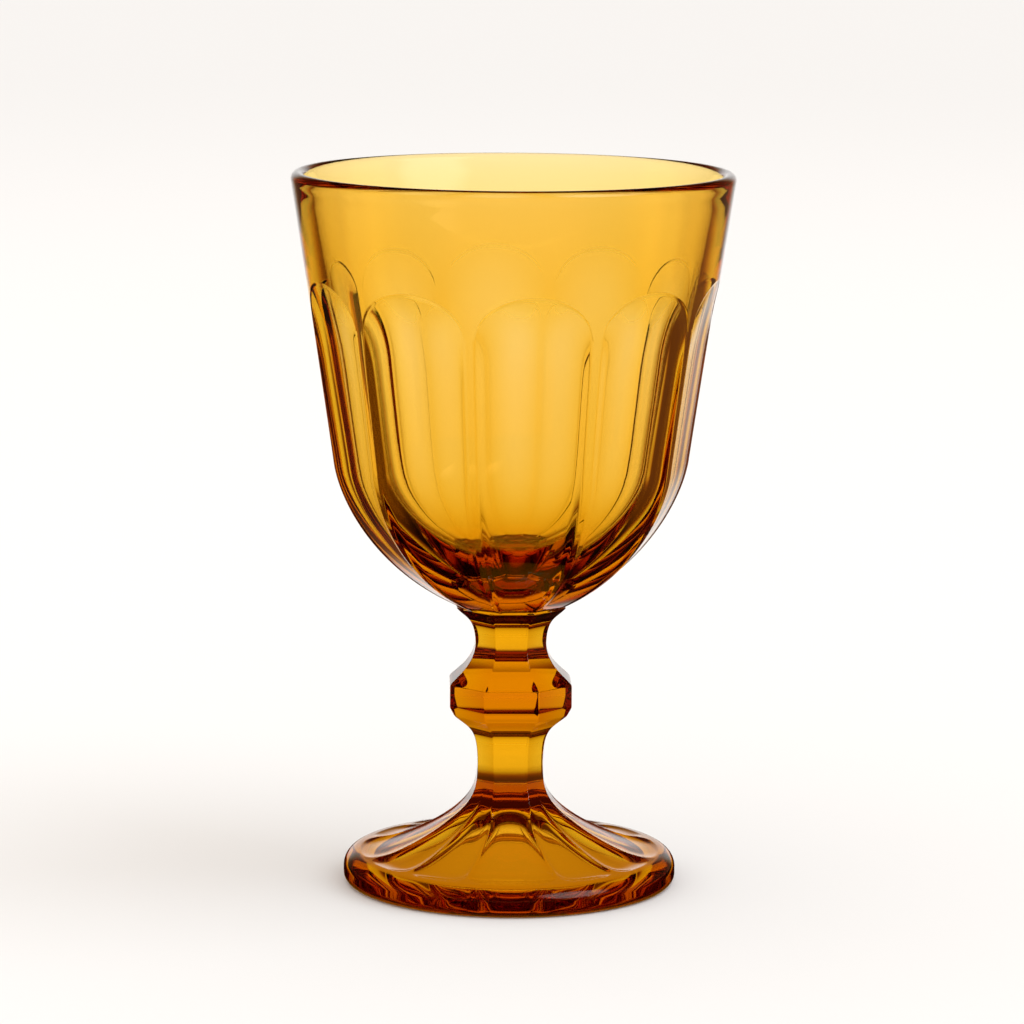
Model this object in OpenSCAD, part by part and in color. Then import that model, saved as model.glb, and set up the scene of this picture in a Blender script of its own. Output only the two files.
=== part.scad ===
// Water goblet in pressed amber glass: a panelled bowl on a faceted stem and a fluted round foot.
// Millimetres, +Z up, origin at the middle of the ring that the foot rests on. The front faces -Y.

/* [Bowl] */
// Height of the bowl, from its weld on the stem to the rim
bowl_h = 91; // [80:1:104]
// Width across the rim
rim_d = 92.2; // [86:0.2:100]
// Width across the corners of the belly, where the side turns in
belly_d = 74.6; // [70:0.2:79]
// Height of the belly above the weld
belly_h = 31; // [27:0.5:35]
// Width across the corners of the bowl's base, at the weld
bowl_base_d = 23.2; // [22:0.1:27]
// Thickness of the rounded lip
lip_t = 2.9; // [2.2:0.1:3.6]
// Thickness of the wall at the belly, measured at a corner
wall_t = 5.2; // [4.6:0.1:6]
// Thickness of the glass floor above the weld
floor_t = 7.8; // [6:0.2:12]

/* [Bowl panels] */
// Number of panels round the bowl
bowl_panels = 10; // [8:2:14]
// Turn of the front panel to the right, in degrees
bowl_turn = 6; // [-18:1:18]
// Height of the plain band between the rim and the arched panel tops
band_h = 21.4; // [16:0.2:28]
// Rise of each arched panel top
arch_h = 8.8; // [5:0.2:11]
// How far the panels' corners lie inside the round of the band
panel_sink = 0.25; // [0.15:0.05:0.4]

/* [Stem] */
// Height of the stem, from its weld on the foot to the bowl
stem_h = 37; // [33:0.5:42]
// Turn of the stem's and the foot's front facet to the right, in degrees
stem_turn = 3.5; // [-22:0.5:22]
// Width of the collar that carries the bowl, across its flats
collar_w = 22.8; // [20:0.2:23]
// Height of the collar and the upper neck, down to the neck's narrowest place
collar_h = 7.6; // [5:0.1:9]
// Width of the neck across its front flats
neck_w = 14.8; // [12:0.2:16]
// Width of the neck across its diagonal flats
neck_diagonal_w = 15; // [12.4:0.1:16.4]
// Height from the neck's narrowest place down to the knop's belt
neck_h = 8.8; // [7.5:0.1:10.5]
// Width of the knop across its front flats
knop_w = 25.5; // [22:0.1:28]
// Width of the knop across its diagonal flats
knop_diagonal_w = 26.1; // [22.6:0.1:28.8]
// Height of the knop's upright belt
belt_h = 4.6; // [3:0.1:6]
// Height of the bevel under the belt
bevel_h = 1.9; // [1:0.1:2.6]
// How far the bevel draws in on each side
bevel_in = 1; // [0.6:0.1:1.8]
// Width of the shank under the knop, across its front flats
shank_w = 13.7; // [11.5:0.1:15]
// Width of the shank across its diagonal flats
shank_diagonal_w = 14.6; // [12.4:0.1:16]
// Height of the shank's narrowest place above the foot
shank_rise = 4; // [3:0.2:5]

/* [Foot] */
// Height of the foot, from the table to its weld under the stem
foot_h = 22; // [19:0.5:26]
// Width across the foot
foot_d = 70; // [66:0.5:78]
// Width of the foot's weld across its front flats
ankle_w = 14.1; // [12:0.1:16]
// Width of the foot's weld across its diagonal flats
ankle_diagonal_w = 14.9; // [12.8:0.1:16.8]
// Thickness of the foot at its edge
edge_t = 6.4; // [5:0.1:8]
// Radius of the edge's upper corner
edge_top_r = 2; // [1:0.1:2.4]
// Radius of the edge's lower corner
edge_low_r = 1.4; // [0.8:0.1:2.5]
// Rise of the plain ring from the edge's corner in to the flutes
ring_rise = 1; // [0.6:0.1:1.8]
// Width across the arched outer ends of the flutes
flute_d = 63; // [60:0.5:64.5]
// Length of the arch at each flute's outer end
flute_arch = 5.4; // [4:0.1:6.5]
// How far the ribs between the flutes start below the plain ring
flute_sink = 0.2; // [0.15:0.05:0.35]
// Angle that each wide flute spans, in degrees
wide_flute = 38; // [34:1:42]
// Width of the hollow under the foot
hollow_d = 60; // [54:0.5:62]
// Depth of the hollow under the foot
hollow_h = 13; // [10:0.5:14]

/* [Hidden] */
$fn = 96;
glass = [0.93, 0.66, 0.1, 0.75];

// Directions in degrees: the front, a flat's neighbour at right angles, and the flat between them
front = -90;
quarter = 90;
diagonal = 45;
stem_sides = 8;

// Straight steps that stand for each curve, each arch and each rounded corner
curve_steps = 12;
arch_steps = 6;
corner_steps = 6;
// Share past its top to which an arch's outline is carried, so that it leaves the round cleanly
arch_share = 1.2;
// How far the cutting outlines reach past the glass
overrun = 4;
// How far the slanting facets under the ankle run out past the foot's ribs, and how far above them
slant_out = 2.4;
slant_up = 1;

// Levels above the table
bowl_z = foot_h + stem_h;
rim_z = bowl_z + bowl_h;
belly_z = bowl_z + belly_h;
floor_z = bowl_z + floor_t;
arch_top_z = rim_z - band_h;
arch_foot_z = arch_top_z - arch_h;
neck_z = bowl_z - collar_h;
belt_top_z = neck_z - neck_h;
belt_low_z = belt_top_z - belt_h;
bevel_low_z = belt_low_z - bevel_h;
shank_z = foot_h + shank_rise;

// Radii that the pieces share
lip_r = lip_t / 2;
belly_r = belly_d / 2;
foot_r = foot_d / 2;
flute_r = flute_d / 2;
rib_r = flute_r - flute_arch;
rib_z = edge_t + ring_rise;
ankle_across = ankle_diagonal_w / 2 / sin(diagonal) - ankle_w / 2 / tan(diagonal);
ankle_corner_r = norm([ankle_w / 2, ankle_across]);

// The flutes: four wide ones under the stem's front and side flats, two narrow ones between each
narrow_flute = (quarter - wide_flute) / 2;
narrow_turn = (wide_flute + narrow_flute) / 2;

// Handles of each curve, as shares of its run and of its drop
side_shares = [[0.38, 0.367], [0.76, 0.75]];
bottom_shares = [[0.03, 0.235], [0.3, 0.735]];
cavity_shares = [[0.05, 0.5], [0.5, 1]];
collar_shares = [[0.47, 0.29], [0.945, 0.285]];
neck_shares = [[0.02, 0.58], [0.88, 0.83]];
shank_shares = [[0.72, 0.3], [0.96, 0.3]];
ankle_shares = [[0, 0.4], [0.6, 0.8]];
flare_shares = [[0.02, 0.34], [0.34, 0.7]];
slant_shares = [[0, 0.4], [0.3, 0.76]];
hollow_shares = [[0.233, 0], [0.5, 0.646]];
// Power of the depth by which the wall thickens down from the lip
wall_share = 0.6;

// A smooth curve from one point to another, its two handles placed by shares of the way
function curve(from, to, shares) =
    let (way = to - from)
    let (near = from + [way[0] * shares[0][0], way[1] * shares[0][1]])
    let (far = from + [way[0] * shares[1][0], way[1] * shares[1][1]])
    [for (i = [0:curve_steps])
        let (t = i / curve_steps, s = 1 - t)
        s * s * s * from + 3 * s * s * t * near + 3 * s * t * t * far + t * t * t * to];

// A rounded corner about a centre, from one angle to another
function corner(centre, radius, from, to) =
    [for (i = [0:corner_steps])
        let (angle = from + (to - from) * i / corner_steps)
        centre + radius * [cos(angle), sin(angle)]];

// A list of points in the other order
function backwards(points) = [for (i = [len(points) - 1:-1:0]) points[i]];

// The radius of a listed outline at a height
function radius_at(points, z) = lookup(z, [for (p = points) [p[1], p[0]]]);

// The bowl's round outline, from the lip down to the belly and in to the weld
lip_low = [rim_d / 2, rim_z - lip_r];
belly = [belly_r, belly_z];
side = curve(lip_low, belly, side_shares);
bottom = curve(belly, [bowl_base_d / 2, bowl_z], bottom_shares);
outline = concat(side, [for (i = [1:curve_steps]) bottom[i]]);

// Thickness of the wall at a height, thin at the lip and full at the belly
function wall_at(z) = lip_t + (wall_t - lip_t) * pow((lip_low[1] - z) / (lip_low[1] - belly_z), wall_share);

// The inside of the bowl, from the lip down the wall and across the floor
inner_wall = [for (p = side) [p[0] - wall_at(p[1]), p[1]]];
inner_belly = [belly_r - wall_t, belly_z];
cavity = concat(inner_wall, [for (i = [1:curve_steps]) curve(inner_belly, [0, floor_z], cavity_shares)[i]]);

// Radius of the round where the arches end and the panels' corners begin
arch_foot_r = radius_at(outline, arch_foot_z);

// The glass of the bowl before its panels are cut: upright below the arches, with the cavity inside
module bowl_round() {
    above = [for (p = backwards(side)) if (p[1] > arch_foot_z) p];
    lip = corner(lip_low - [lip_r, 0], lip_r, 0, 180);
    rotate_extrude()
        polygon(concat([[0, bowl_z], [arch_foot_r, bowl_z], [arch_foot_r, arch_foot_z]], above, lip, cavity));
}

// One panel's outline seen from its side: flat across, curved up the bowl, and scooped out to its arched top
function panel_outline() =
    let (turn_in = cos(180 / bowl_panels))
    let (below = [for (p = backwards(outline)) if (p[1] < arch_foot_z) [(p[0] - panel_sink) * turn_in, p[1]]])
    let (dip = arch_foot_r - (arch_foot_r - panel_sink) * turn_in)
    let (arch = [for (i = [0:arch_steps])
        let (u = arch_share * i / arch_steps, z = arch_foot_z + arch_h * u)
        [radius_at(outline, z) - dip * (1 - u * u), z]])
    concat([below[0] - [0, overrun]], below, arch);

// A block with an outline on both of its sides, closed off above and long enough to cross the glass
module two_sided_block(points, top, reach) {
    last = points[len(points) - 1];
    half = concat(points, [[max(last[0], reach), last[1]], [max(last[0], reach), top]]);
    rotate([quarter, 0, 0])
        linear_extrude(2 * reach + 2 * overrun, center = true)
            polygon(concat(half, [for (p = backwards(half)) [-p[0], p[1]]]));
}

// The bowl: its round glass, cut by pairs of facing panels
module bowl() {
    color(glass)
        intersection() {
            bowl_round();
            intersection_for (i = [0:bowl_panels / 2 - 1])
                rotate([0, 0, front + bowl_turn + i * 360 / bowl_panels])
                    two_sided_block(panel_outline(), rim_z + overrun, rim_d / 2 + overrun);
        }
}

// One facet's outline down the stem, from the collar to the weld on the foot
function facet_outline(neck, knop, shank, ankle) =
    let (bevel = knop / 2 - bevel_in)
    concat(
        curve([collar_w / 2, bowl_z], [neck / 2, neck_z], collar_shares),
        [for (i = [1:curve_steps]) curve([neck / 2, neck_z], [knop / 2, belt_top_z], neck_shares)[i]],
        [[knop / 2, belt_low_z]],
        curve([bevel, bevel_low_z], [shank / 2, shank_z], shank_shares),
        [for (i = [1:curve_steps]) curve([shank / 2, shank_z], [ankle / 2, foot_h], ankle_shares)[i]]
    );

// A bar with one pair of facing facets of the stem
module facet_bar(points) {
    rotate([quarter, 0, 0])
        linear_extrude(knop_diagonal_w + 2 * overrun, center = true)
            polygon(concat(points, [for (p = backwards(points)) [-p[0], p[1]]]));
}

// The stem: collar, neck, knop and shank in one piece, where four bars cross
module stem() {
    color(glass)
        intersection_for (i = [0:stem_sides / 2 - 1])
            rotate([0, 0, stem_turn + i * diagonal])
                facet_bar(i % 2 == 0
                    ? facet_outline(neck_w, knop_w, shank_w, ankle_w)
                    : facet_outline(neck_diagonal_w, knop_diagonal_w, shank_diagonal_w, ankle_diagonal_w));
}

// The height of the plain ring at a distance from the axis
function ring_z(r) = edge_t + ring_rise * (foot_r - edge_top_r - r) / (foot_r - edge_top_r - rib_r);

// The round foot before its flutes are cut, upright inside the plain ring
module foot_round() {
    top = corner([foot_r - edge_top_r, edge_t - edge_top_r], edge_top_r, 0, 90);
    low = corner([foot_r - edge_low_r, edge_low_r], edge_low_r, -90, 0);
    rotate_extrude()
        polygon(concat([[0, 0]], low, top, [[rib_r, rib_z], [rib_r, foot_h], [0, foot_h]]));
}

// One flute's outline, swept down from the ankle to its arched end: flat across, spanning an angle
function flute_outline(ankle_r, span) =
    let (start = rib_r * cos(span / 2), start_z = rib_z - flute_sink)
    let (dip = ring_z(start) - start_z)
    let (end = flute_r - start)
    concat(
        curve([ankle_r, foot_h], [start, start_z], flare_shares),
        [for (i = [1:arch_steps])
            let (u = arch_share * i / arch_steps)
            [start + end * u, ring_z(start + end * u) - dip * (1 - u * u)]]
    );

// A block under a pair of facing flutes, turned to their direction
module flute_block(turn, points) {
    last = points[len(points) - 1];
    half = concat([[points[0][0], foot_h + overrun]], points, [[foot_r + overrun, last[1]], [foot_r + overrun, -overrun]]);
    rotate([0, 0, stem_turn + turn])
        rotate([quarter, 0, 0])
            linear_extrude(foot_d + 2 * overrun, center = true)
                polygon(concat(half, [for (p = backwards(half)) [-p[0], p[1]]]));
}

// All the flutes, and the slanting facets that run out between the narrow ones under the ankle
module flutes() {
    wide = flute_outline(ankle_w / 2, wide_flute);
    narrow = flute_outline(ankle_corner_r, narrow_flute);
    slant = curve([ankle_diagonal_w / 2, foot_h], [rib_r + slant_out, rib_z + slant_up], slant_shares);
    intersection_for (turn = [0, quarter])
        intersection() {
            flute_block(turn, wide);
            flute_block(turn + narrow_turn, narrow);
            flute_block(turn - narrow_turn, narrow);
            flute_block(turn + diagonal, slant);
        }
}

// The hollow under the foot, a round dome that follows the flutes
module hollow() {
    dome = curve([0, hollow_h], [hollow_d / 2, 0], hollow_shares);
    rotate_extrude()
        polygon(concat([[0, -overrun], [hollow_d / 2, -overrun]], backwards(dome)));
}

// The foot: a round disc with a plain ring, swept up in flutes to the ankle, hollow underneath
module foot() {
    color(glass)
        difference() {
            intersection() {
                foot_round();
                flutes();
            }
            hollow();
        }
}

bowl();
stem();
foot();
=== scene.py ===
"""Water goblet in pressed amber glass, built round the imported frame. Sizes are in metres."""

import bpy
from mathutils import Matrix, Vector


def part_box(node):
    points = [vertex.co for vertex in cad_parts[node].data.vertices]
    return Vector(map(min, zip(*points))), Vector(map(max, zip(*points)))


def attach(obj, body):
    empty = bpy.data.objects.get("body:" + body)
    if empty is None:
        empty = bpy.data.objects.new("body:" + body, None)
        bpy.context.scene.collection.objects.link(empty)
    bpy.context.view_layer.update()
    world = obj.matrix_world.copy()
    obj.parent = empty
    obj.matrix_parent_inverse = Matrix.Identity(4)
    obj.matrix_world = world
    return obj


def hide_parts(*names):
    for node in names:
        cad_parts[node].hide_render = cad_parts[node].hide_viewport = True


bl_info = {
    "name": "Amber Water Goblet",
    "version": (1, 0, 0),
    "blender": (4, 5, 0),
    "location": "View3D > Sidebar > Goblet",
    "description": "Presses a panelled amber goblet over the frame and sets it on a pale studio floor",
    "category": "Object",
}

import math
from typing import NamedTuple

import bpy
import numpy as np
from mathutils import Matrix, Vector

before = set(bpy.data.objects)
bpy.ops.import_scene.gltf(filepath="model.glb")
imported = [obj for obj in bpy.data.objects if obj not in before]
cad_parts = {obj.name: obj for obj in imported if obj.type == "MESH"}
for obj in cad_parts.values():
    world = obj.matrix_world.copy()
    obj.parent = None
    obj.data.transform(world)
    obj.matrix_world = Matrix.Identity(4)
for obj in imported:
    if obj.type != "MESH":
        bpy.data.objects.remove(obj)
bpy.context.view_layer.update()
bowl_low, bowl_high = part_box("bowl")
foot_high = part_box("foot")[1]

MM = 0.001
DEGREE = math.radians(1)
QUARTER = math.pi / 2
FRONT = -QUARTER


class GobletShape(bpy.types.PropertyGroup):
    """Sizes of the glass that the frame's boxes don't give."""

    belly_width: bpy.props.FloatProperty(
        name="Belly width", description="Width across the corners where the side turns in",
        default=74.6 * MM, unit="LENGTH")
    belly_height: bpy.props.FloatProperty(
        name="Belly height", description="Height of the belly above the bowl's weld",
        default=31 * MM, unit="LENGTH")
    base_width: bpy.props.FloatProperty(
        name="Base width", description="Width across the corners of the bowl's base",
        default=23.2 * MM, unit="LENGTH")
    lip: bpy.props.FloatProperty(
        name="Lip", description="Thickness of the rounded lip",
        default=2.9 * MM, unit="LENGTH")
    wall: bpy.props.FloatProperty(
        name="Wall", description="Thickness of the wall at the belly, at a corner",
        default=5.2 * MM, unit="LENGTH")
    floor: bpy.props.FloatProperty(
        name="Floor", description="Thickness of the glass floor above the weld",
        default=7.8 * MM, unit="LENGTH")
    panels: bpy.props.IntProperty(
        name="Panels", description="Panels round the bowl: 8, 10 or 12", default=10, min=8, max=12)
    panel_turn: bpy.props.FloatProperty(
        name="Panel turn", description="Turn of the front panel to the right",
        default=6 * DEGREE, subtype="ANGLE")
    band: bpy.props.FloatProperty(
        name="Band", description="Height of the plain band over the arched panel tops",
        default=21.4 * MM, unit="LENGTH")
    arch: bpy.props.FloatProperty(
        name="Arch", description="Rise of each arched panel top",
        default=8.8 * MM, unit="LENGTH")
    panel_sink: bpy.props.FloatProperty(
        name="Panel sink", description="How far the panels' corners lie inside the band's round",
        default=0.25 * MM, unit="LENGTH")
    stem_turn: bpy.props.FloatProperty(
        name="Stem turn", description="Turn of the front facet to the right",
        default=1.5 * DEGREE, subtype="ANGLE")


class AmberFinish(bpy.types.PropertyGroup):
    """Colour and surface of the glass."""

    ior: bpy.props.FloatProperty(
        name="Index", description="Refractive index of the glass", default=1.5, min=1.3, max=1.8)
    passed: bpy.props.FloatVectorProperty(
        name="Passed colour", description="Colour that the glass passes best", subtype="COLOR",
        size=3, default=(0.954, 0.829, 0.0), min=0.0, max=1.0)
    density: bpy.props.FloatProperty(
        name="Depth of colour", description="How fast the colour deepens, per metre of glass",
        default=368.0, min=0.0)
    skin: bpy.props.FloatVectorProperty(
        name="Skin tint", description="Tint that light takes once through the glass's two faces",
        subtype="COLOR", size=3, default=(1.0, 0.91, 0.97), min=0.0, max=1.0)
    ripples: bpy.props.FloatProperty(
        name="Ripples", description="Ripples of the pressed surface, per metre", default=90.0, min=0.0)
    ripple_depth: bpy.props.FloatProperty(
        name="Ripple depth", description="Depth of the ripples", default=0.6 * MM, unit="LENGTH")
    ripple_strength: bpy.props.FloatProperty(
        name="Ripple strength", description="How strongly the ripples bend the light",
        default=0.05, min=0.0, max=1.0)


class StudioSettings(bpy.types.PropertyGroup):
    """Light, floor and camera."""

    floor_colour: bpy.props.FloatVectorProperty(
        name="Floor colour", description="Colour of the pale floor", subtype="COLOR",
        size=3, default=(0.87, 0.855, 0.835), min=0.0, max=1.0)
    room_colour: bpy.props.FloatVectorProperty(
        name="Room colour", description="Colour of the plain room that the camera sees",
        subtype="COLOR", size=3, default=(0.835, 0.805, 0.785), min=0.0, max=1.0)
    fill_colour: bpy.props.FloatVectorProperty(
        name="Fill colour", description="Colour of the room's light on the floor", subtype="COLOR",
        size=3, default=(0.86, 0.82, 0.785), min=0.0, max=1.0)
    room_strength: bpy.props.FloatProperty(
        name="Room strength", description="Strength of all the room's light", default=1.22, min=0.0)
    box_colour: bpy.props.FloatVectorProperty(
        name="Soft box colour", description="Colour and strength of the soft box", subtype="COLOR",
        size=3, default=(1.7, 1.55, 1.4), min=0.0)
    glow_colour: bpy.props.FloatVectorProperty(
        name="Glow colour", description="Colour of the light that gathers under the foot",
        subtype="COLOR", size=3, default=(0.66, 0.335, 0.02), min=0.0, max=1.0)
    sun_colour: bpy.props.FloatVectorProperty(
        name="Sun colour", description="Colour of the key light on the floor", subtype="COLOR",
        size=3, default=(0.85, 0.97, 1.1), min=0.0)
    sun_strength: bpy.props.FloatProperty(
        name="Sun strength", description="Strength of the key light", default=0.9, min=0.0)
    sun_spread: bpy.props.FloatProperty(
        name="Sun spread", description="How wide the key light is, which softens the shadow",
        default=50 * DEGREE, subtype="ANGLE")
    camera_distance: bpy.props.FloatProperty(
        name="Camera distance", description="Distance of the camera in front of the goblet",
        default=949 * MM, unit="LENGTH")
    camera_height: bpy.props.FloatProperty(
        name="Camera height", description="Height of the camera over the table",
        default=234.7 * MM, unit="LENGTH")
    lens: bpy.props.FloatProperty(
        name="Lens", description="Focal length of the camera", default=161.68, unit="CAMERA")


# The columns of the mesh: on each wide facet or flute, and on each of the two flutes between them.
WIDE_COLUMNS = 26
NARROW_COLUMNS = 17
COLUMNS = 4 * (WIDE_COLUMNS + 2 * NARROW_COLUMNS)


def curve(start, end, shares, rows):
    """A cubic from start to end, its handles placed by shares of the run and of the drop."""
    start, end = np.array(start), np.array(end)
    way = end - start
    near = start + way * np.array(shares[0])
    far = start + way * np.array(shares[1])
    t = np.linspace(0, 1, rows + 1)[:, None]
    s = 1 - t
    return s**3 * start + 3 * s * s * t * near + 3 * s * t * t * far + t**3 * end


def turned(shares):
    """The shares of the same curve, drawn from its other end."""
    return [[1 - run, 1 - drop] for run, drop in reversed(shares)]


def arc(centre, radius, start, end, rows):
    """Points of a rounded edge about a centre, between two angles in degrees."""
    angle = np.radians(np.linspace(start, end, rows + 1))
    return np.stack([centre[0] + radius * np.cos(angle), centre[1] + radius * np.sin(angle)], 1)


def softened(points, reach, gentle=8 * DEGREE, rows=5):
    """The same outline with each corner rounded off over a reach on either side, except for gentle
    bends. A point holds two radii and a height, and the first radius tells how sharp a corner is."""
    side = [0, 2]
    out = [points[0]]
    for before, at, after in zip(points, points[1:], points[2:]):
        back, on = before - at, after - at
        back_length, on_length = np.linalg.norm(back[side]), np.linalg.norm(on[side])
        if -back[side] @ on[side] > math.cos(gentle) * back_length * on_length:
            out.append(at)
            continue
        step = min(reach, back_length / 2, on_length / 2)
        first, last = at + back / back_length * step, at + on / on_length * step
        for t in np.linspace(0, 1, rows):
            out.append((1 - t) ** 2 * first + 2 * (1 - t) * t * at + t * t * last)
    out.append(points[-1])
    return np.array(out)


def eased(share):
    """A share from 0 to 1 that leaves 0 and reaches 1 gently."""
    share = np.clip(share, 0, 1)
    return share * share * (3 - 2 * share)


def crowded(count, crowding=0.8):
    """Steps from 0 to 1 that crowd towards both ends, without the last."""
    t = np.arange(count) / count
    return t - crowding * np.sin(2 * math.pi * t) / (2 * math.pi)


def column_angles(first_rib, sides):
    """Directions of the mesh's columns round a section of equal sides, crowded towards the ribs."""
    steps = np.arange(sides)[:, None] + crowded(COLUMNS // sides)[None, :]
    return (first_rib + 2 * math.pi / sides * steps).ravel()


def dish(place, half, depth, blunt, least_depth=1e-9):
    """How deep a flat lies inside the circle of its two ribs, at places from -1 at one rib to 1 at the
    other. Half is the angle from its middle to a rib, and depth the depth at its middle. The ribs are
    blunt, over half the way to the middle at most."""
    def sunk(share):
        return (1 - np.cos(half) / np.cos(share * half)) / (1 - np.cos(half))

    reach = min(blunt / (2 * max(depth, least_depth)), 0.5)
    near = (1 - np.abs(place)) / reach
    return depth * np.where(near < 1, sunk(1 - reach) / 2 * (1 + near**2), sunk(place))


def ring(radius, z, directions):
    """One ring of points round the axis. Radius and height may differ from column to column."""
    radius = np.broadcast_to(radius, directions.shape)
    z = np.broadcast_to(z, directions.shape)
    return np.stack([radius * np.cos(directions), radius * np.sin(directions), z], 1)


class Goblet:
    """The outlines of the glass, worked out from the frame and the sizes in the panel. The stem has
    four wide facets and four slanting ones between them, each with its own widths across."""

    # Bowl. Each curve's handles are shares of its run and of its drop.
    side_shares = [[0.38, 0.367], [0.76, 0.75]]
    bottom_shares = [[0.03, 0.235], [0.3, 0.735]]
    cavity_shares = [[0.05, 0.5], [0.5, 1.0]]
    wall_share = 0.6
    side_rows, panel_rows, arch_rows, over_rows, band_rows = 60, 16, 30, 12, 16
    lip_rows, cavity_rows = 14, 32

    # Panels. Each starts with a soft step at its arch, and has its full depth a fade further down.
    # The lands between them stay round. The last three space the rings next to the arches.
    arch_fade, arch_step, arch_soft = 14 * MM, 0.14 * MM, 0.45 * MM
    arch_nearest, over_nearest, level_over_arch = 0.004, 0.012, 6 * MM
    land_share, land_soft = 0.08, 0.07

    # Stem. Its handles run from the weld down. Each width is across the wide facets, then across
    # the slanting ones, and the corners and ribs are rounded off.
    collar_shares = [[0.47, 0.29], [0.945, 0.285]]
    neck_shares = [[0.02, 0.58], [0.88, 0.83]]
    shank_shares = [[0.72, 0.3], [0.96, 0.3]]
    ankle_shares = [[0.0, 0.4], [0.6, 0.8]]
    collar = 22.8 * MM
    neck, neck_slant = 14.8 * MM, 15 * MM
    knop, knop_slant = 25.5 * MM, 26.1 * MM
    shank, shank_slant = 13.7 * MM, 14.6 * MM
    ankle, ankle_slant = 14.1 * MM, 14.9 * MM
    collar_h, neck_h, belt_h, shank_rise = 7.6 * MM, 8.8 * MM, 4.6 * MM, 4 * MM
    bevel_h, bevel_in = 1.9 * MM, 1 * MM
    corner_soft, rib_blunt = 0.35 * MM, 0.06 * MM
    collar_rows, neck_rows, shank_rows, ankle_rows = 14, 16, 16, 6

    # Foot. The flare starts at the shoulder, which is evened out in passes. The flutes are at full
    # depth outside flute_full, and close from their tips to their ends.
    edge, edge_top, edge_low = 6.4 * MM, 3.2 * MM, 1.8 * MM
    shoulder, shoulder_h, shoulder_passes = 26.1 * MM, 7.4 * MM, 30
    flare_shares = [[0.02, 0.34], [0.34, 0.7]]
    flute_half, flute_full, flute_tip, flute_end = 19 * DEGREE, 14 * MM, 28 * MM, 31.5 * MM
    flute_deep, flute_fill, flute_square = 0.6 * MM, 0.97, 5
    hollow_r, hollow_h, rest_margin = 30 * MM, 13 * MM, 1 * MM
    hollow_shares = [[0.233, 0.0], [0.5, 0.646]]
    hollow_rows, edge_rows, land_rows, flare_rows = 30, 8, 23, 60

    def __init__(self, shape):
        if COLUMNS % shape.panels:
            raise ValueError(f"{COLUMNS} columns of the mesh can't be shared by {shape.panels} panels")
        self.shape = shape
        self.rim_z, self.weld_z = bowl_high.z, bowl_low.z
        self.foot_h, self.foot_r = foot_high.z, foot_high.x
        self.rim_r = bowl_high.x
        self.lip_r = shape.lip / 2
        self.belly_z = self.weld_z + shape.belly_height
        self.pitch = 2 * math.pi / shape.panels
        bowl_turn = FRONT + shape.panel_turn
        self.bowl_columns = column_angles(bowl_turn - self.pitch / 2, shape.panels)
        self.from_panel = self.bowl_columns - bowl_turn
        self.stem_turn = FRONT + shape.stem_turn
        lip_low = np.array([self.rim_r, self.rim_z - self.lip_r])
        belly = np.array([shape.belly_width / 2, self.belly_z])
        base = [shape.base_width / 2, self.weld_z]
        self.side = curve(lip_low, belly, self.side_shares, self.side_rows)
        self.bottom = curve(belly, base, self.bottom_shares, self.side_rows)
        self.outline = np.concatenate([self.side, self.bottom[1:]])[::-1]

    def round_r(self, z):
        """Radius of the bowl's round outside, at the panels' corners."""
        return np.interp(z, self.outline[:, 1], self.outline[:, 0])

    def wall_at(self, z):
        """Thickness of the wall, from the lip's down to the belly's."""
        top = self.rim_z - self.lip_r
        share = np.clip((top - z) / (top - self.belly_z), 0, 1)
        return self.shape.lip + (self.shape.wall - self.shape.lip) * share**self.wall_share

    def bowl_outside(self):
        """Rings from the weld up the panels, over their arches and up the plain band."""
        s = self.shape
        arch_low = self.rim_z - s.band - s.arch
        off = np.abs((self.from_panel + self.pitch / 2) % self.pitch - self.pitch / 2)
        side = self.pitch / 2 * (1 - self.land_share)
        crease_z = arch_low + s.arch * np.sqrt(np.clip(1 - (off / side) ** 2, 0, 1))
        inside = eased((side - off) / (self.pitch / 2 * self.land_soft))

        def panel(z):
            whole = self.round_r(z)
            flat = (whole - s.panel_sink) * math.cos(side) / np.cos(off)
            deep = np.minimum(flat - whole, 0) * inside
            under = np.maximum(crease_z - z, 0)
            step = np.maximum(-self.arch_step * (1 - np.exp(-((under / self.arch_soft) ** 2))), deep)
            sunk = np.sin(np.clip(under / self.arch_fade, 0, 1) * QUARTER)
            return whole + step + (deep - step) * sunk

        rings = []
        start = arch_low - self.arch_fade
        rows = [z for _, z in self.bottom[::-2]]
        rows += list(np.linspace(self.belly_z, start, self.panel_rows)[1:])
        for z in rows:
            rings.append(ring(panel(np.full_like(off, z)), z, self.bowl_columns))
        for share in 1 - np.geomspace(1, self.arch_nearest, self.arch_rows)[1:]:
            z = start + (crease_z - start) * share
            rings.append(ring(panel(z), z, self.bowl_columns))
        end = self.rim_z - s.band + self.level_over_arch
        for share in np.geomspace(self.over_nearest, 1, self.over_rows):
            z = crease_z + (end - crease_z) * share
            rings.append(ring(self.round_r(z), z, self.bowl_columns))
        for z in np.linspace(end, self.rim_z - self.lip_r, self.band_rows)[1:]:
            rings.append(ring(self.round_r(z), z, self.bowl_columns))
        return rings

    def bowl_inside(self):
        """Rings over the lip, down the round wall and across the floor."""
        centre = [self.rim_r - self.lip_r, self.rim_z - self.lip_r]
        start = [self.shape.belly_width / 2 - self.shape.wall, self.belly_z]
        floor_z = self.weld_z + self.shape.floor
        points = [
            arc(centre, self.lip_r, 0, 180, self.lip_rows)[1:],
            [[r - self.wall_at(z), z] for r, z in self.side[2::2]],
            curve(start, [0.0, floor_z], self.cavity_shares, self.cavity_rows)[1:-1],
        ]
        return [ring(r, z, self.bowl_columns) for r, z in np.concatenate(points)], (0, 0, floor_z)

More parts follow.
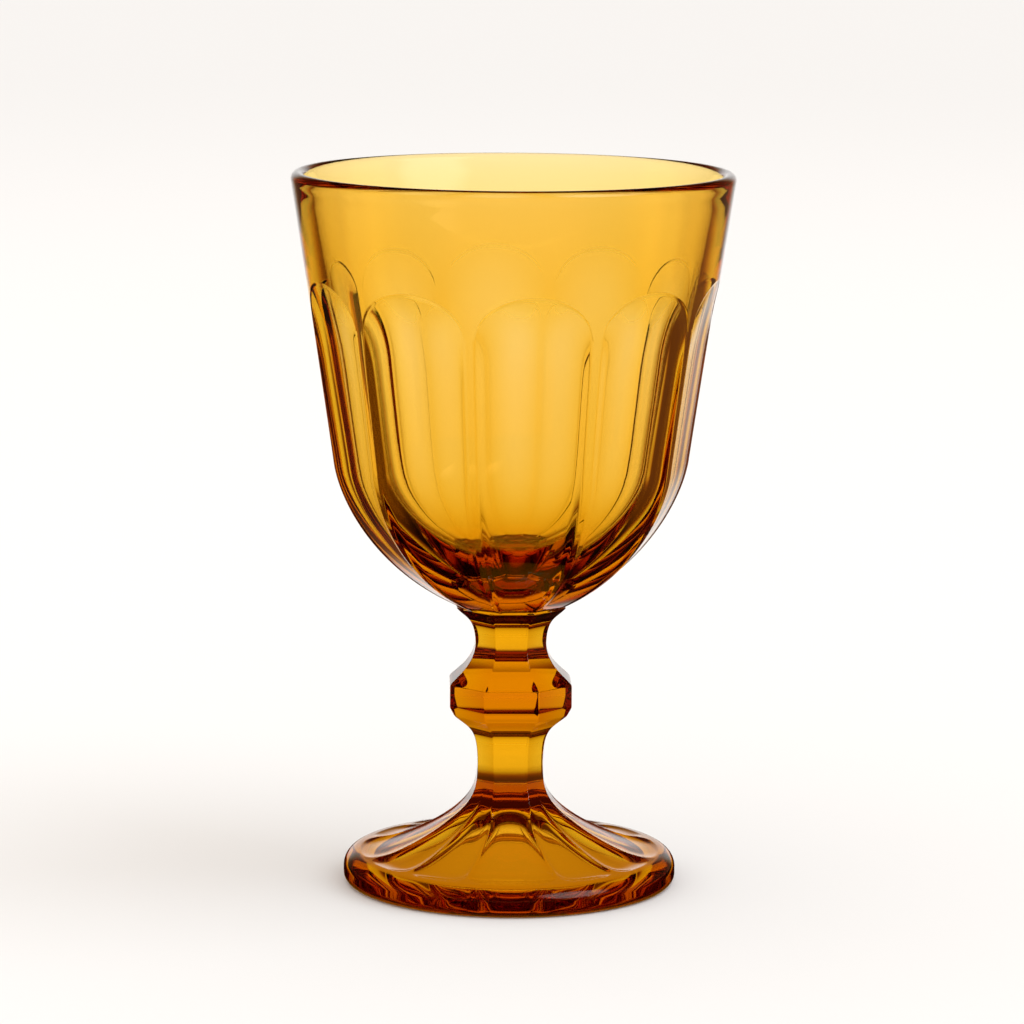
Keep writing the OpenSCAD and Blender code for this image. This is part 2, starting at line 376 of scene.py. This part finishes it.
    def section(self, corner_r, z, half, wide=0.0, slant=0.0, flute=0.0, end=0.0, lean=(1.0, 0.0)):
        """One ring of the stem or foot: four wide facets, and between them four slanting ones, each of
        which the foot splits into two narrower flutes. The depths wide, slant and flute are counted
        from the ribs, end closes a flute, and lean is the direction, out and up, of the surface."""
        step = crowded(WIDE_COLUMNS) * 2 - 1
        thin = crowded(NARROW_COLUMNS) * 2 - 1
        rest = QUARTER / 2 - half
        split = np.concatenate([(thin - 1) / 2, (thin + 1) / 2])
        facets = [dish(step, half, wide, self.rib_blunt), dish(split, rest, slant, self.rib_blunt)]
        across = np.abs(np.concatenate([step, thin, thin]) / self.flute_fill)
        scoops = np.clip(1 - across**self.flute_square - end, 0, 1) * flute
        dips = np.tile(np.concatenate(facets) + scoops, 4)
        places = np.concatenate([step * half, half + (split + 1) * rest])
        directions = self.stem_turn + (np.arange(4)[:, None] * QUARTER + places[None, :]).ravel()
        return ring(corner_r - dips * lean[0], z - dips * lean[1], directions)

    def corner(self, wide, slant):
        """Distance and direction of the rib between a wide facet and a slanting one."""
        across = slant / math.sin(QUARTER / 2) - wide / math.tan(QUARTER / 2)
        return math.hypot(wide, across), math.atan2(across, wide)

    def stem_side(self, neck, knop, shank, ankle):
        """The outline of one kind of facet, from the ankle up to the weld, for its widths."""
        neck_z = self.weld_z - self.collar_h
        belt_top = neck_z - self.neck_h
        belt_low = belt_top - self.belt_h
        ankle_at = [ankle / 2, self.foot_h]
        shank_at = [shank / 2, self.foot_h + self.shank_rise]
        bevel_at = [knop / 2 - self.bevel_in, belt_low - self.bevel_h]
        neck_at = [neck / 2, neck_z]
        weld_at = [self.collar / 2, self.weld_z]
        return np.concatenate([
            curve(ankle_at, shank_at, turned(self.ankle_shares), self.ankle_rows),
            curve(shank_at, bevel_at, turned(self.shank_shares), self.shank_rows)[1:],
            [[knop / 2, belt_low]],
            curve([knop / 2, belt_top], neck_at, turned(self.neck_shares), self.neck_rows),
            curve(neck_at, weld_at, turned(self.collar_shares), self.collar_rows)[1:],
        ])

    def stem_rings(self):
        """Rings from the ankle up the shank, the knop and the neck to the collar."""
        wide = self.stem_side(self.neck, self.knop, self.shank, self.ankle)
        slant = self.stem_side(self.neck_slant, self.knop_slant, self.shank_slant, self.ankle_slant)
        rings = []
        points = np.stack([wide[:, 0], slant[:, 0], wide[:, 1]], 1)
        for wide_r, slant_r, z in softened(points, self.corner_soft):
            corner_r, half = self.corner(wide_r, slant_r)
            rings.append(self.section(corner_r, z, half, corner_r - wide_r, corner_r - slant_r))
        return rings

    def foot_rings(self):
        """Rings from the hollow under the foot, round its edge and up its flutes to the ankle."""
        top_in, low_in = self.foot_r - self.edge_top, self.foot_r - self.edge_low
        plain = [
            curve([0.0, self.hollow_h], [self.hollow_r, 0.0], self.hollow_shares, self.hollow_rows)[1:],
            [[self.hollow_r + self.rest_margin, 0], [low_in - self.rest_margin, 0]],
            arc([low_in, self.edge_low], self.edge_low, -90, 0, self.edge_rows),
            arc([top_in, self.edge - self.edge_top], self.edge_top, 0, 90, self.edge_rows),
        ]
        rings = [self.section(r, z, self.flute_half) for r, z in np.concatenate(plain)]
        corner_r, half = self.corner(self.ankle / 2, self.ankle_slant / 2)
        ring_out = np.array([top_in, self.edge])
        shoulder = np.array([self.shoulder, self.shoulder_h])
        flare = curve(shoulder, [corner_r, self.foot_h], turned(self.flare_shares), self.flare_rows)
        land = [ring_out + (shoulder - ring_out) * t for t in np.linspace(0, 1, self.land_rows + 1)[:-1]]
        profile = np.concatenate([land, flare])
        for _ in range(self.shoulder_passes):
            profile[1:-1] = (profile[:-2] + 2 * profile[1:-1] + profile[2:]) / 4
        run = np.gradient(profile, axis=0)
        run /= np.linalg.norm(run, axis=1)[:, None]
        for (r, z), (along_r, along_z) in zip(profile[1:-1], run[1:-1]):
            fluted = eased((r - corner_r) / (self.flute_full - corner_r))
            spread = half + (self.flute_half - half) * fluted
            wide = (corner_r - self.ankle / 2) * (1 - fluted)
            slant = (corner_r - self.ankle_slant / 2) * (1 - fluted)
            end = max(0.0, (r - self.flute_tip) / (self.flute_end - self.flute_tip)) ** 2
            deep = self.flute_deep * fluted
            rings.append(self.section(r, z, spread, wide, slant, deep, end, (along_z, -along_r)))
        return (0, 0, self.hollow_h), rings


def glass_mesh(goblet):
    """One closed skin, as the fused goblet has: foot, stem and bowl outside, then the cup's inside."""
    under, foot = goblet.foot_rings()
    inside, floor = goblet.bowl_inside()
    rings = foot + goblet.stem_rings() + goblet.bowl_outside() + inside
    points = np.concatenate([[under]] + rings + [[floor]])
    sides = [(i, (i + 1) % COLUMNS) for i in range(COLUMNS)]
    last, tip = len(points) - 1 - COLUMNS, len(points) - 1
    faces = [(0, 1 + j, 1 + i) for i, j in sides]
    for a in range(1, last, COLUMNS):
        b = a + COLUMNS
        faces += [(a + i, a + j, b + j, b + i) for i, j in sides]
    faces += [(last + i, last + j, tip) for i, j in sides]
    mesh = bpy.data.meshes.new("goblet_glass")
    mesh.from_pydata([tuple(p) for p in points], [], faces)
    mesh.update()
    mesh.shade_smooth()
    return mesh


def amber_glass(finish):
    """Clear glass tinted by its depth, with the faint ripple of a pressed surface."""
    material = bpy.data.materials.new("pressed_amber_glass")
    material.use_nodes = True
    nodes, links = material.node_tree.nodes, material.node_tree.links
    shader = nodes["Principled BSDF"]
    shader.inputs["Base Color"].default_value = (*finish.skin, 1)
    shader.inputs["Transmission Weight"].default_value = 1
    shader.inputs["IOR"].default_value = finish.ior
    shader.inputs["Roughness"].default_value = 0.0
    where = nodes.new("ShaderNodeTexCoord")
    ripple = nodes.new("ShaderNodeTexNoise")
    ripple.inputs["Scale"].default_value = finish.ripples
    ripple.inputs["Detail"].default_value = 1.0
    bump = nodes.new("ShaderNodeBump")
    bump.inputs["Strength"].default_value = finish.ripple_strength
    bump.inputs["Distance"].default_value = finish.ripple_depth
    links.new(where.outputs["Object"], ripple.inputs["Vector"])
    links.new(ripple.outputs["Fac"], bump.inputs["Height"])
    links.new(bump.outputs["Normal"], shader.inputs["Normal"])
    tint = nodes.new("ShaderNodeVolumeAbsorption")
    tint.inputs["Color"].default_value = (*finish.passed, 1)
    tint.inputs["Density"].default_value = finish.density
    links.new(tint.outputs["Volume"], nodes["Material Output"].inputs["Volume"])
    return material


class GOBLET_OT_press_glass(bpy.types.Operator):
    """Press the goblet's glass over the frame's bowl, stem and foot"""

    bl_idname = "goblet.press_glass"
    bl_label = "Press the glass"

    def execute(self, context):
        goblet = Goblet(context.scene.goblet_shape)
        glass = bpy.data.objects.new("goblet_glass", glass_mesh(goblet))
        context.scene.collection.objects.link(glass)
        glass.data.materials.append(amber_glass(context.scene.goblet_finish))
        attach(glass, "root")
        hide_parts("bowl", "stem", "foot")
        return {"FINISHED"}


class Fade(NamedTuple):
    """An easing from start to end, while a value runs from low to high."""

    low: float
    high: float
    start: float = 0.0
    end: float = 1.0


class Room:
    """The studio as the glass sees it, in shares of white, by direction from the goblet: X points to
    the right, Y behind it and Z up, each from -1 to 1. The first five also hold for the floor."""

    sweep = Fade(0.7, 0.97)
    white = 0.85
    front_white = Fade(-0.95, -0.6, white, 0.0)
    side_white = Fade(0.9, 0.98, 0.0, white)
    flags = Fade(0.86, 0.995, 0.25, 0.9)

    sweep_high = Fade(0.78, 0.93)
    sweep_narrows = Fade(0.2, 0.34)
    sweep_climb = ((0.0, 1.0), (0.12, 0.94), (0.26, 0.8), (0.42, 0.63), (0.55, 0.53))
    left_to_right = Fade(-0.5, 0.5, 0.16, 0.34)
    dark_front = Fade(-0.7, 0.1, 0.04, 1.0)
    white_height = Fade(0.0, 0.25, 1.0, 0.0)
    overhead, overhead_share = Fade(0.46, 0.64), 0.1
    mirrored_height = Fade(0.15, 0.45, 1.0, 0.15)
    box_aim = Vector((0.77, -0.64, 0.6)).normalized()
    box_edge = Fade(0.9, 0.97)


class Ground:
    """The floor as the glass sees it, in shares of white. The fades right and dark_front go by the X
    and the Y of a place, and the others by its distance from the goblet."""

    reach, drop = 12.0, -0.05 * MM
    right = Fade(0.12, 0.22, 0.2, 0.9)
    dim_side = 0.1
    dark_front = Fade(-0.09, 0.02, 0.06, 1.0)
    white_from = Fade(0.15, 0.35)
    # A painted shadow on the floor round the foot, as the glass sees it: a tenth of white out to 5 cm,
    # full white from 10.5 cm.
    painted_shadow_near = Fade(0.05, 0.105, 0.1, 1.0)
    glow = Fade(0.031, 0.037, 1.0, 0.0)
    far, far_share = Fade(0.2, 2.5), 0.885


# Colours for the shares of white: nearly grey at the bright end, and a warm brown lower down.
WARM = (
    (0, (0, 0, 0)),
    (0.22, (0.23, 0.095, 0.04)),
    (0.4, (0.43, 0.28, 0.17)),
    (0.62, (0.62, 0.57, 0.52)),
    (0.85, (0.85, 0.825, 0.8)),
    (1, (1, 0.97, 0.945)),
)


def smooth_step(tree, value, fade):
    """A node that eases a value as a Fade says."""
    ease = tree.nodes.new("ShaderNodeMapRange")
    ease.interpolation_type = "SMOOTHSTEP"
    for name, number in zip(("From Min", "From Max", "To Min", "To Max"), fade):
        ease.inputs[name].default_value = number
    tree.links.new(value, ease.inputs["Value"])
    return ease.outputs["Result"]


def blend_values(tree, factor, first, second):
    """A node that goes from the first value to the second as the factor goes from 0 to 1."""
    blend = tree.nodes.new("ShaderNodeMix")
    for socket, value in zip((0, 2, 3), (factor, first, second)):
        if isinstance(value, (int, float)):
            blend.inputs[socket].default_value = value
        else:
            tree.links.new(value, blend.inputs[socket])
    return blend.outputs[0]


def blend_colours(tree, factor, first, second):
    """A node that goes from the first colour to the second as the factor goes from 0 to 1."""
    blend = tree.nodes.new("ShaderNodeMix")
    blend.data_type = "RGBA"
    for socket, colour in zip((0, 6, 7), (factor, first, second)):
        if isinstance(colour, bpy.types.NodeSocket):
            tree.links.new(colour, blend.inputs[socket])
        else:
            blend.inputs[socket].default_value = (*colour, 1)
    return blend.outputs[2]


def multiply(tree, first, second):
    """A node that multiplies two values."""
    product = tree.nodes.new("ShaderNodeMath")
    product.operation = "MULTIPLY"
    tree.links.new(first, product.inputs[0])
    tree.links.new(second, product.inputs[1])
    return product.outputs[0]


def tone(tree, value, stops):
    """A node that turns a value into a colour, by stops of a place and a colour."""
    ramp = tree.nodes.new("ShaderNodeValToRGB")
    while len(ramp.color_ramp.elements) < len(stops):
        ramp.color_ramp.elements.new(0.5)
    for element, (place, colour) in zip(ramp.color_ramp.elements, stops):
        element.position = place
        element.color = (*colour, 1)
    tree.links.new(value, ramp.inputs["Fac"])
    return ramp.outputs["Color"]


def vector_math(tree, operation, vector, other=None):
    """A node that works on a vector, with another one where the operation needs it."""
    work = tree.nodes.new("ShaderNodeVectorMath")
    work.operation = operation
    tree.links.new(vector, work.inputs[0])
    if other is not None:
        work.inputs[1].default_value = other
    return work.outputs["Value" if operation in ("LENGTH", "DOT_PRODUCT") else "Vector"]


def split_up(tree, vector):
    """A node that gives a vector's X, Y and Z."""
    parts = tree.nodes.new("ShaderNodeSeparateXYZ")
    tree.links.new(vector, parts.inputs[0])
    return parts.outputs


def level_aim(tree, place):
    """Nodes for the X and Y of the level direction from the goblet to a place."""
    flat = vector_math(tree, "MULTIPLY", place, (1, 1, 0))
    return split_up(tree, vector_math(tree, "NORMALIZE", flat))


def white_around(tree, aim):
    """Nodes that give most of 1 straight in front of the goblet and straight to its left and right,
    so that it is lit from behind in the views from behind and from the sides too."""
    front = smooth_step(tree, aim["Y"], Room.front_white)
    across = smooth_step(tree, multiply(tree, aim["X"], aim["X"]), Room.side_white)
    return blend_values(tree, front, across, Room.white)


def mirror_share(tree, rays, aim):
    """Nodes that dim what the outer surface mirrors from beside the sweep, as dark flags would."""
    return blend_values(tree, rays["Is Reflection Ray"], 1.0, smooth_step(tree, aim["Y"], Room.flags))


def soft_box(tree, rays, where):
    """Nodes for a small soft box at the front right, which surfaces mirror and which lights nothing
    else. A reflection ray may also be a diffuse one, so it has to be a glossy ray as well."""
    mirrored = multiply(tree, rays["Is Reflection Ray"], rays["Is Glossy Ray"])
    near = vector_math(tree, "DOT_PRODUCT", where, Room.box_aim)
    return multiply(tree, mirrored, smooth_step(tree, near, Room.box_edge))


def studio_light(tree, rays, where):
    """Nodes for what the glass sees: a white sweep behind that narrows and dims as it climbs, dim
    sides, a dark front and overhead, and low down white patches in front and at both sides."""
    up = split_up(tree, where)["Z"]
    aim = level_aim(tree, where)
    climb = tone(tree, up, [(place, (grey, grey, grey)) for place, grey in Room.sweep_climb])
    wide, narrow = smooth_step(tree, aim["Y"], Room.sweep), smooth_step(tree, aim["Y"], Room.sweep_high)
    behind = blend_values(tree, smooth_step(tree, up, Room.sweep_narrows), wide, narrow)
    sides = smooth_step(tree, aim["X"], Room.left_to_right)
    low = blend_values(
        tree, behind, multiply(tree, sides, smooth_step(tree, aim["Y"], Room.dark_front)), climb)
    around = multiply(tree, white_around(tree, aim), smooth_step(tree, up, Room.white_height))
    low = blend_values(tree, around, low, 1.0)
    seen = blend_values(tree, smooth_step(tree, up, Room.overhead), low, Room.overhead_share)
    height = smooth_step(tree, up, Room.mirrored_height)
    height = blend_values(tree, rays["Is Reflection Ray"], 1.0, height)
    return multiply(tree, seen, multiply(tree, mirror_share(tree, rays, aim), height))


def studio_world(settings):
    """A room that the camera and the floor see plain, and the glass as a studio with a soft box."""
    world = bpy.data.worlds.new("studio")
    world.use_nodes = True
    tree = world.node_tree
    back = tree.nodes["Background"]
    rays = tree.nodes.new("ShaderNodeLightPath").outputs
    where = tree.nodes.new("ShaderNodeTexCoord").outputs["Generated"]
    studio = tone(tree, studio_light(tree, rays, where), WARM)
    lit = blend_colours(tree, rays["Is Diffuse Ray"], studio, settings.fill_colour)
    seen = blend_colours(tree, rays["Is Camera Ray"], lit, settings.room_colour)
    box = soft_box(tree, rays, where)
    tree.links.new(blend_colours(tree, box, seen, settings.box_colour), back.inputs["Color"])
    back.inputs["Strength"].default_value = settings.room_strength
    bpy.context.scene.world = world


def floor_light(tree, rays, place, reach):
    """Nodes for the floor that the glass sees: white behind and far out, dark in front, and darker
    near the foot under a painted shadow. What is seen through the glass is dim on the right as well,
    and what it mirrors is not."""
    aim = level_aim(tree, place)
    parts = split_up(tree, place)
    right = smooth_step(tree, parts["X"], Ground.right)
    right = blend_values(tree, rays["Is Reflection Ray"], Ground.dim_side, right)
    beside = multiply(tree, right, smooth_step(tree, parts["Y"], Ground.dark_front))
    lit = blend_values(tree, smooth_step(tree, aim["Y"], Room.sweep), beside, 1.0)
    around = multiply(tree, white_around(tree, aim), smooth_step(tree, reach, Ground.white_from))
    lit = multiply(tree, blend_values(tree, around, lit, 1.0), mirror_share(tree, rays, aim))
    # The painted shadow darkens the floor near the foot.
    return multiply(tree, lit, smooth_step(tree, reach, Ground.painted_shadow_near))


def pale_floor(settings):
    """Material of a floor that the camera sees plain, slightly darker far out, and the glass as part
    of the studio. For the glass alone it glows in amber under the foot's hollow, as real glass
    gathers light there."""
    material = bpy.data.materials.new("pale_floor")
    material.use_nodes = True
    tree = material.node_tree
    shader = tree.nodes["Principled BSDF"]
    shader.inputs["Roughness"].default_value = 0.9
    shader.inputs["Specular IOR Level"].default_value = 0.0
    shader.inputs["Emission Color"].default_value = (*settings.glow_colour, 1)
    rays = tree.nodes.new("ShaderNodeLightPath").outputs
    place = tree.nodes.new("ShaderNodeNewGeometry").outputs["Position"]
    reach = vector_math(tree, "LENGTH", place)
    studio = tone(tree, floor_light(tree, rays, place, reach), WARM)
    colour = settings.floor_colour
    far_colour = [Ground.far_share * part for part in colour]
    shown = blend_colours(tree, smooth_step(tree, reach, Ground.far), colour, far_colour)
    base = blend_colours(tree, rays["Is Camera Ray"], studio, shown)
    glow = blend_values(tree, rays["Is Camera Ray"], smooth_step(tree, reach, Ground.glow), 0.0)
    tree.links.new(base, shader.inputs["Base Color"])
    tree.links.new(glow, shader.inputs["Emission Strength"])
    return material


def studio_floor(settings):
    """A wide square floor, a hair under the ring that the foot rests on."""
    mesh = bpy.data.meshes.new("studio_floor")
    signs = ((-1, -1), (1, -1), (1, 1), (-1, 1))
    corners = [(x * Ground.reach, y * Ground.reach, Ground.drop) for x, y in signs]
    mesh.from_pydata(corners, [], [(0, 1, 2, 3)])
    floor = bpy.data.objects.new("studio_floor", mesh)
    bpy.context.scene.collection.objects.link(floor)
    mesh.materials.append(pale_floor(settings))


def key_sun(settings, place=(1.0, -0.3, 1.3)):
    """A wide sun from the right that draws the goblet's soft shadow, and that the glass doesn't show."""
    light = bpy.data.lights.new("key_sun", "SUN")
    light.energy = settings.sun_strength
    light.angle = settings.sun_spread
    light.color = settings.sun_colour
    sun = bpy.data.objects.new("key_sun", light)
    sun.rotation_euler = (-Vector(place)).to_track_quat("-Z", "Y").to_euler()
    sun.visible_transmission = False
    sun.visible_glossy = False
    bpy.context.scene.collection.objects.link(sun)


# The camera that was fitted to the photograph: its tilt and roll in degrees, its sensor in
# millimetres, and the small shift that sets the goblet in its place, in the photograph's pixels.
CAMERA_TILT = 9.34
CAMERA_ROLL = 0.37
SENSOR_WIDTH = 36
SHIFT_PIXELS = 0.6
PHOTO_PIXELS = 1024


def photo_camera(settings):
    """The camera at the photograph's distance, height and angle."""
    lens = bpy.data.cameras.new("camera")
    lens.lens = settings.lens
    lens.sensor_width = SENSOR_WIDTH
    lens.shift_x = SHIFT_PIXELS / PHOTO_PIXELS
    camera = bpy.data.objects.new("camera", lens)
    camera.matrix_world = (
        Matrix.Translation((0, -settings.camera_distance, settings.camera_height))
        @ Matrix.Rotation((90 - CAMERA_TILT) * DEGREE, 4, "X")
        @ Matrix.Rotation(CAMERA_ROLL * DEGREE, 4, "Z")
    )
    bpy.context.scene.collection.objects.link(camera)
    bpy.context.scene.camera = camera


class GOBLET_OT_set_stage(bpy.types.Operator):
    """Set the pale floor, the soft lights and the camera"""

    bl_idname = "goblet.set_stage"
    bl_label = "Set the stage"

    def execute(self, context):
        scene = context.scene
        settings = scene.goblet_studio
        studio_world(settings)
        studio_floor(settings)
        key_sun(settings)
        photo_camera(settings)
        scene.view_settings.view_transform = "Standard"
        scene.cycles.max_bounces = 32
        scene.cycles.transmission_bounces = 32
        scene.cycles.glossy_bounces = 16
        scene.cycles.transparent_max_bounces = 16
        return {"FINISHED"}


class GOBLET_PT_sidebar(bpy.types.Panel):
    """The goblet's tools in the sidebar"""

    bl_label = "Goblet"
    bl_idname = "GOBLET_PT_sidebar"
    bl_space_type = "VIEW_3D"
    bl_region_type = "UI"
    bl_category = "Goblet"

    def draw(self, context):
        layout, scene = self.layout, context.scene
        for group in (scene.goblet_shape, scene.goblet_finish, scene.goblet_studio):
            for name in group.bl_rna.properties.keys():
                if name not in ("rna_type", "name"):
                    layout.prop(group, name)
        layout.operator("goblet.press_glass")
        layout.operator("goblet.set_stage")


CLASSES = (
    GobletShape,
    AmberFinish,
    StudioSettings,
    GOBLET_OT_press_glass,
    GOBLET_OT_set_stage,
    GOBLET_PT_sidebar,
)


def register():
    for each in CLASSES:
        bpy.utils.register_class(each)
    bpy.types.Scene.goblet_shape = bpy.props.PointerProperty(type=GobletShape)
    bpy.types.Scene.goblet_finish = bpy.props.PointerProperty(type=AmberFinish)
    bpy.types.Scene.goblet_studio = bpy.props.PointerProperty(type=StudioSettings)


def unregister():
    del bpy.types.Scene.goblet_studio
    del bpy.types.Scene.goblet_finish
    del bpy.types.Scene.goblet_shape
    for each in reversed(CLASSES):
        bpy.utils.unregister_class(each)


def main():
    register()
    bpy.ops.goblet.press_glass()
    bpy.ops.goblet.set_stage()


if __name__ == "__main__":
    main()
